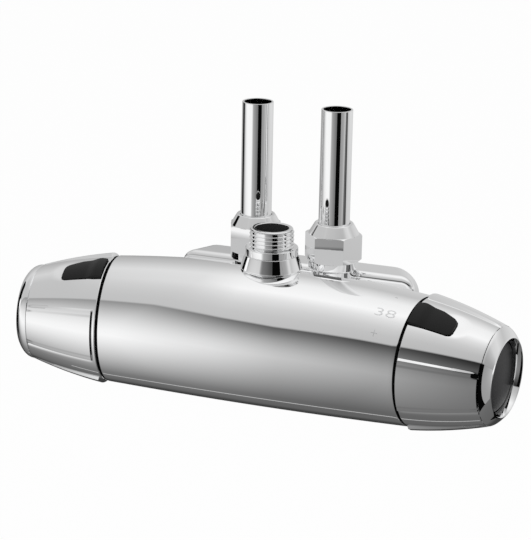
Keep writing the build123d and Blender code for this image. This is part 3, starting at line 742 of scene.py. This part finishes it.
# %% Turn the rings and the caps
LIP_R = {"flow": 19.0, "temp": 18.6}
LIP_Z = {"flow": 44.2, "temp": 42.8}
FULLNESS = {"flow": 2.4, "temp": 1.35}
FUNNEL_TOP_R, FUNNEL_FOOT_R = 17.9, 16.7
CAP_R = 16.3
CAP_DEPTH = 3.4
CAP_CROWN = 1.2
RING_R = KNOB_R2 + 0.2
RING_TAIL = 3.6
RING_INNER_R = KNOB_R2 - KNOB_WALL - 0.15
RING_STATIONS = 12
for name in ("flow", "temp"):
    lip_r, lip_z = LIP_R[name], LIP_Z[name]
    face_z = lip_z - CAP_DEPTH
    seat_z, tail_z, first_z = KNOB_LENGTH + 0.02, KNOB_LENGTH - RING_TAIL, KNOB_LENGTH + 0.35
    outside = []
    for i in range(RING_STATIONS + 1):
        t = i / RING_STATIONS
        outside.append((RING_R - (RING_R - lip_r) * t ** FULLNESS[name], first_z + (lip_z - 0.1 - first_z) * t))
    ring = turned([(FUNNEL_FOOT_R, tail_z), (RING_INNER_R, tail_z), (RING_INNER_R, seat_z),
                   (RING_R - 0.5, seat_z)] + outside +
                  [(lip_r - 0.35, lip_z), (FUNNEL_TOP_R + 0.15, lip_z - 0.2), (FUNNEL_TOP_R, lip_z - 0.6),
                   (FUNNEL_FOOT_R, face_z - 0.4)])
    piece(f"{name}_ring", ring, f"{name}_knob_body", [f"{name}_end_ring"], "chrome", chrome,
          place=end_places[name], sharp_deg=30)
    crown = [(CAP_R * i / 8, face_z + 0.9 - CAP_CROWN * (i / 8) ** 2) for i in range(7, -1, -1)]
    cap = turned([(0, face_z - 3), (CAP_R - 1, face_z - 3), (CAP_R, face_z - 2.5), (CAP_R, face_z - 0.8),
                  (CAP_R - 0.6, face_z - 0.3)] + crown)
    piece(f"{name}_disc", cap, f"{name}_knob_body", [f"{name}_end_cap"], "dark_cap", cap_plastic,
          place=end_places[name])

# %% [markdown]
# ## The marks
# The temperature side carries a figure and two signs on the barrel. Text is made a mesh first and is
# then wrapped on the barrel: its width runs along the axis and its height round it.

# %% Wrap the marks on the barrel
MARK_LIFT = 0.03
STROKE_THINNER = 0.12


def on_barrel(x, deg):
    """A point just above the barrel's skin, from its place along it and its angle from the front."""
    t = x / SEAM_X
    slope = atan(2 * BOW * t / SEAM_X)
    radius = barrel_radius(x) + MARK_LIFT
    reach = radius * cos(radians(deg))
    forward = BOW * t * t + reach * cos(slope)
    return Vector((x - reach * sin(slope), AXIS_Y - forward, radius * sin(radians(deg))))


def mark(name, text, size, x, deg, wide=1.0, tall=1.0):
    """Text wrapped on the barrel with its middle at a place."""
    letters = bpy.data.curves.new(name, "FONT")
    letters.body, letters.size = text, size
    letters.align_x, letters.align_y = "CENTER", "CENTER"
    letters.offset = -STROKE_THINNER
    written = bpy.data.objects.new(name, letters)
    bpy.context.scene.collection.objects.link(written)
    bpy.context.view_layer.update()
    bm = bmesh.new()
    bm.from_mesh(written.to_mesh())
    bpy.data.objects.remove(written)
    bmesh.ops.triangulate(bm, faces=bm.faces)
    bmesh.ops.subdivide_edges(bm, edges=[e for e in bm.edges if e.calc_length() > 0.8], cuts=2)
    for vert in bm.verts:
        vert.co = on_barrel(x + wide * vert.co.x, deg + degrees(tall * vert.co.y / barrel_radius(x)))
    piece(name, bm, "mixer", ["mixer_body"], "chrome", mark_grey)


mark("mark_38", "38", size=8.6, x=65.9, deg=56.5, wide=1.32, tall=0.74)
mark("mark_plus", "+", size=7.0, x=64.2, deg=36)
mark("mark_minus", "-", size=7.0, x=66.5, deg=79)

# %% [markdown]
# ## The studio
# Chrome shows the room, so the room is the real work. The object hangs inside a long light tent along
# its own length, which only reflections see. Its paper is bright overhead, falls to grey behind, and
# under a sharp horizon it runs from white on the left to dark grey on the right, as a studio does
# whose window is on the left. So the paper is planned by a few tones at a few places along the tent.

# %% Plan the paper of the tent
TENT_R = 450.0
TENT_HALF = 3000.0
FLOOR_DEG, FRONT_DEG, CEILING_DEG = -90, -12, 92     # where the floor, front and ceiling tones lie
PAST_CEILING_DEG, PAST_CEILING_TONE = 117, 0.9
BEHIND_DEG, BEHIND_TONE = 144, 0.76                  # high behind the mixer
DARK_STRIP_DEG, DARK_STRIP_TONE = (-148, -130), 0.24  # a darker strip low behind it
STRIP_FADE_DEG, WALL_FADE = 4, 0.14
FOOT_FADE_DEG, FOOT_TONE = 12, 0.38
HORIZON_EDGE_DEG = 1.5
FLOOR_FALL, HORIZON_FALL, CEILING_RISE = 1.2, 1.8, 1.7     # powers of the fades, more is later
# place along the tent: height of the horizon, then tones at the wall, on the floor, in front, under and
# over the horizon, and overhead
tent_plan = {
    -400: (47.5, 0.68, 0.48, 0.98, 0.61, 0.76, 0.77),
    -200: (47.0, 0.65, 0.47, 0.98, 0.56, 0.76, 0.87),
    -165: (38.5, 0.65, 0.45, 0.89, 0.45, 0.76, 0.97),
    -140: (35.5, 0.75, 0.42, 0.78, 0.36, 0.75, 0.98),
    -100: (38.0, 0.80, 0.39, 0.66, 0.28, 0.74, 0.98),
    140: (40.5, 0.85, 0.40, 0.49, 0.14, 0.72, 0.98),
    500: (38.5, 0.88, 0.40, 0.49, 0.14, 0.62, 0.82),
}


def fade(start, end, from_deg, to_deg, power, steps=6):
    """Angles and tones that leave one tone slowly and arrive at another."""
    return [(from_deg + (to_deg - from_deg) * i / steps, start + (end - start) * (i / steps) ** power)
            for i in range(1, steps + 1)]


def tent_stops(horizon, wall, floor, front, under, over, ceiling):
    """Angle and tone round the tent, from the wall by way of the floor and the front to overhead."""
    strip_start, strip_end = DARK_STRIP_DEG
    stops = [(-180, wall), (strip_start - STRIP_FADE_DEG, wall - WALL_FADE), (strip_start, DARK_STRIP_TONE),
             (strip_end, DARK_STRIP_TONE), (strip_end + FOOT_FADE_DEG, FOOT_TONE)]
    stops += fade(front, floor, FRONT_DEG, FLOOR_DEG, FLOOR_FALL)[::-1] + [(FRONT_DEG, front)]
    stops += fade(front, under, FRONT_DEG, horizon - HORIZON_EDGE_DEG, HORIZON_FALL) + [(horizon, over)]
    stops += fade(over, ceiling, horizon, CEILING_DEG, CEILING_RISE, steps=4)
    return stops + [(PAST_CEILING_DEG, (ceiling + PAST_CEILING_TONE) / 2), (BEHIND_DEG, BEHIND_TONE), (180, wall)]


print("tones of the paper at", list(tent_plan))

# %% Hang the light tent
tent = bmesh.new()
bmesh.ops.create_cone(tent, cap_ends=False, segments=128, radius1=TENT_R, radius2=TENT_R, depth=2 * TENT_HALF)
bmesh.ops.rotate(tent, cent=(0, 0, 0), matrix=Matrix.Rotation(radians(90), 3, "Y"), verts=tent.verts)
bmesh.ops.translate(tent, vec=(0, AXIS_Y, 0), verts=tent.verts)
bmesh.ops.scale(tent, vec=(MM, MM, MM), verts=tent.verts)
tent_mesh = bpy.data.meshes.new("tent")
tent.to_mesh(tent_mesh)
tent.free()
print("tent", len(tent_mesh.polygons), "faces")

# %% [markdown]
# The paper is painted with one grey ramp round the tent for each place of the plan, and neighbouring
# ramps are mixed along it. The ramps are drawn for a level horizon. The real one climbs to the left,
# so the angle is lowered by the horizon's height before the ramps are read. That height is a ramp of
# its own, along the tent.

# %% Paint the paper
tent_paper = bpy.data.materials.new("tent_paper")
tent_paper.use_nodes = True
tent_paper.node_tree.nodes.clear()
sheet = Sheet(tent_paper.node_tree)
point = sheet.place()
x, y, z = [sheet.node("ShaderNodeSeparateXYZ", {}, {0: point}, axis) for axis in range(3)]
angle = z.math("ARCTAN2", -1 * (y - AXIS_Y * MM)) * degrees(1)
x_mm = x * (1 / MM)


def along(start, end, low=0.0, high=1.0, ease="LINEAR"):
    """A value that goes from low to high between two places along the tent."""
    return sheet.node("ShaderNodeMapRange", {"interpolation_type": ease, "clamp": True},
                      {0: x_mm, 1: float(start), 2: float(end), 3: low, 4: high})


def lay_over(light, cover, amount):
    """The light with some of another laid over it."""
    return sheet.node("ShaderNodeMix", {"data_type": "RGBA"}, {0: amount, 6: light, 7: cover}, 2)


LEVEL_DEG, FULL_CLIMB_DEG = 40.0, 60.0       # the level horizon of the ramps, and the top of the climb's scale
start, end = min(tent_plan), max(tent_plan)
heights = [((at - start) / (end - start), tones[0] / FULL_CLIMB_DEG) for at, tones in tent_plan.items()]
climb = sheet.node("ShaderNodeValToRGB", {"stops": heights}, {0: along(start, end)})
level = (angle - climb * FULL_CLIMB_DEG + LEVEL_DEG) / 360 + 0.5
light = None
for at, tones in tent_plan.items():
    stops = [(max(0.0, (deg - tones[0] + LEVEL_DEG) / 360 + 0.5), tone(shade))
             for deg, shade in tent_stops(*tones)]
    ramp = sheet.node("ShaderNodeValToRGB", {"stops": stops}, {0: level})
    light = lay_over(light, ramp, along(previous, at)) if light else ramp
    previous = at
print("paper painted with", len(tent_plan), "ramps")

# %% [markdown]
# Flags are black cards that hang in front of the paper. Beyond the front flag the paper goes on in an
# even grey, and one thin white strip underfoot draws the fine line along the barrel's underside.

# %% Hang the flags
FLAG_DEG = (-70, 38)             # the front flag, from low in front up to the horizon
FRONT_FLAG = (190, 560)          # from and to along the tent
BACK_FLAG_DEG = (-148, -115)
BACK_FLAG = (280, 1000)
LEFT_FLAG, LEFT_FLAG_DEG = -900, 100
STRIP_DEG = (-102.4, -100.2)
STRIP = (-330, 90)
END_PAPER, END_TONES = (560, 2600), (0.60, 0.80)
BLACK, STRIP_WHITE = (0.002, 0.002, 0.002, 1), (0.5, 0.5, 0.5, 1)


def within(value, limits):
    """1 between two limits and 0 elsewhere."""
    return (value > limits[0]) * (value < limits[1])


in_front = within(angle, FLAG_DEG)
end_grey = along(*END_PAPER, tone(END_TONES[0]), tone(END_TONES[1]), "SMOOTHSTEP")
end_paper = sheet.node("ShaderNodeCombineColor", {}, {0: end_grey, 1: end_grey, 2: end_grey})
light = lay_over(light, end_paper, in_front * (x_mm > FRONT_FLAG[1]))
flags = in_front * within(x_mm, FRONT_FLAG) + within(angle, BACK_FLAG_DEG) * within(x_mm, BACK_FLAG)
flags = flags + (x_mm < LEFT_FLAG) * (angle.math("ABSOLUTE") > LEFT_FLAG_DEG)
light = lay_over(light, BLACK, flags)
light = lay_over(light, STRIP_WHITE, within(angle, STRIP_DEG) * within(x_mm, STRIP))
sheet.end(sheet.node("ShaderNodeEmission", {}, {"Color": light, "Strength": 1.0}))
tent_mesh.materials.append(tent_paper)
tent_object = bpy.data.objects.new("tent", tent_mesh)
bpy.context.scene.collection.objects.link(tent_object)
tent_object.visible_camera = False
tent_object.visible_diffuse = False
tent_object.visible_shadow = False
print("tent hung with its flags")

# %% [markdown]
# The floor lies well below, because the mixer hangs on a wall. It is pale, and white to the camera,
# and keeps a trace of the shadow. The world is white to the camera too and lights the plastic parts
# evenly. Two wide lamps give that light a direction, and are left out of the reflections.

# %% Lay the floor
FLOOR_Z = -470.0
FLOOR_HALF = 30.0                # in metres
FLOOR_WHITE = 0.97               # how much of the floor the camera sees as white
floor = bmesh.new()
bmesh.ops.create_grid(floor, x_segments=1, y_segments=1, size=FLOOR_HALF)
bmesh.ops.translate(floor, vec=(0, 0, FLOOR_Z * MM), verts=floor.verts)
floor_mesh = bpy.data.meshes.new("floor")
floor.to_mesh(floor_mesh)
floor.free()
floor_paint = bpy.data.materials.new("pale_floor")
floor_paint.use_nodes = True
floor_paint.node_tree.nodes.clear()
sheet = Sheet(floor_paint.node_tree)
matt = sheet.node("ShaderNodeBsdfDiffuse", {}, {"Color": (0.85, 0.85, 0.85, 1)})
glow = sheet.node("ShaderNodeEmission", {}, {"Color": (1, 1, 1, 1), "Strength": 1.0})
seen = sheet.node("ShaderNodeLightPath", output="Is Camera Ray")
sheet.end(sheet.node("ShaderNodeMixShader", {}, {0: seen * FLOOR_WHITE, 1: matt, 2: glow}))
floor_mesh.materials.append(floor_paint)
floor_object = bpy.data.objects.new("floor", floor_mesh)
bpy.context.scene.collection.objects.link(floor_object)
print("floor at", FLOOR_Z)

# %% Light the world
WORLD_STRENGTH = 0.55            # for everything that the camera and the mirrors don't see
world = bpy.data.worlds.new("studio")
bpy.context.scene.world = world
world.use_nodes = True
world.node_tree.nodes.clear()
sheet = Sheet(world.node_tree)
seen = sheet.node("ShaderNodeLightPath", output="Is Camera Ray")
mirrored = sheet.node("ShaderNodeLightPath", output="Is Glossy Ray")
level = seen.math("MAXIMUM", mirrored) * (1.0 - WORLD_STRENGTH) + WORLD_STRENGTH
sheet.end(sheet.node("ShaderNodeBackground", {}, {"Color": (1, 1, 1, 1), "Strength": level}),
          "ShaderNodeOutputWorld")
print("world", world.name)

# %% Hang the lamps
LAMP_SIZE = 0.9
for name, place, power in (("key_lamp", (-0.7, -1.1, 1.2), 16), ("fill_lamp", (1.0, -0.9, 0.7), 6)):
    lamp = bpy.data.lights.new(name, "AREA")
    lamp.size, lamp.energy = LAMP_SIZE, power
    hung = bpy.data.objects.new(name, lamp)
    bpy.context.scene.collection.objects.link(hung)
    hung.location = place
    hung.rotation_mode = "QUATERNION"
    hung.rotation_quaternion = (Vector((0, AXIS_Y * MM, 0)) - Vector(place)).to_track_quat("-Z", "Y")
    hung.visible_glossy = False
    print(name, "at", place)

# %% [markdown]
# ## The camera
# The photograph was matched by fitting the seams, the pipes and the outlet together. It looks from a
# little to the right and above, through a long lens.

# %% Place the camera
CAMERA_RIGHT_DEG, CAMERA_UP_DEG, CAMERA_ROLL_DEG = 20.70, 16.92, 1.08
CAMERA_DISTANCE = 977.2
CAMERA_ASIDE, CAMERA_RAISED = -1.96, 31.11
FOCAL_LENGTH = 137.5
SENSOR_WIDTH = 36

a, e, roll = radians(CAMERA_RIGHT_DEG), radians(CAMERA_UP_DEG), radians(CAMERA_ROLL_DEG)
back = Vector((sin(a) * cos(e), -cos(a) * cos(e), sin(e)))
right = Vector((cos(a), sin(a), 0))
up = back.cross(right)
eye = Vector((0, AXIS_Y, 0)) + back * CAMERA_DISTANCE + right * CAMERA_ASIDE + up * CAMERA_RAISED
rolled_right = right * cos(roll) + up * sin(roll)
rolled_up = up * cos(roll) - right * sin(roll)
camera = bpy.data.objects.new("camera", bpy.data.cameras.new("camera"))
bpy.context.scene.collection.objects.link(camera)
camera.data.lens = FOCAL_LENGTH
camera.data.sensor_width = SENSOR_WIDTH
facing = Matrix((rolled_right, rolled_up, back)).transposed().to_4x4()
camera.matrix_world = Matrix.Translation(eye * MM) @ facing
bpy.context.scene.camera = camera
bpy.context.scene.view_settings.view_transform = "Standard"
print("camera", CAMERA_DISTANCE, "mm away, lens", FOCAL_LENGTH)
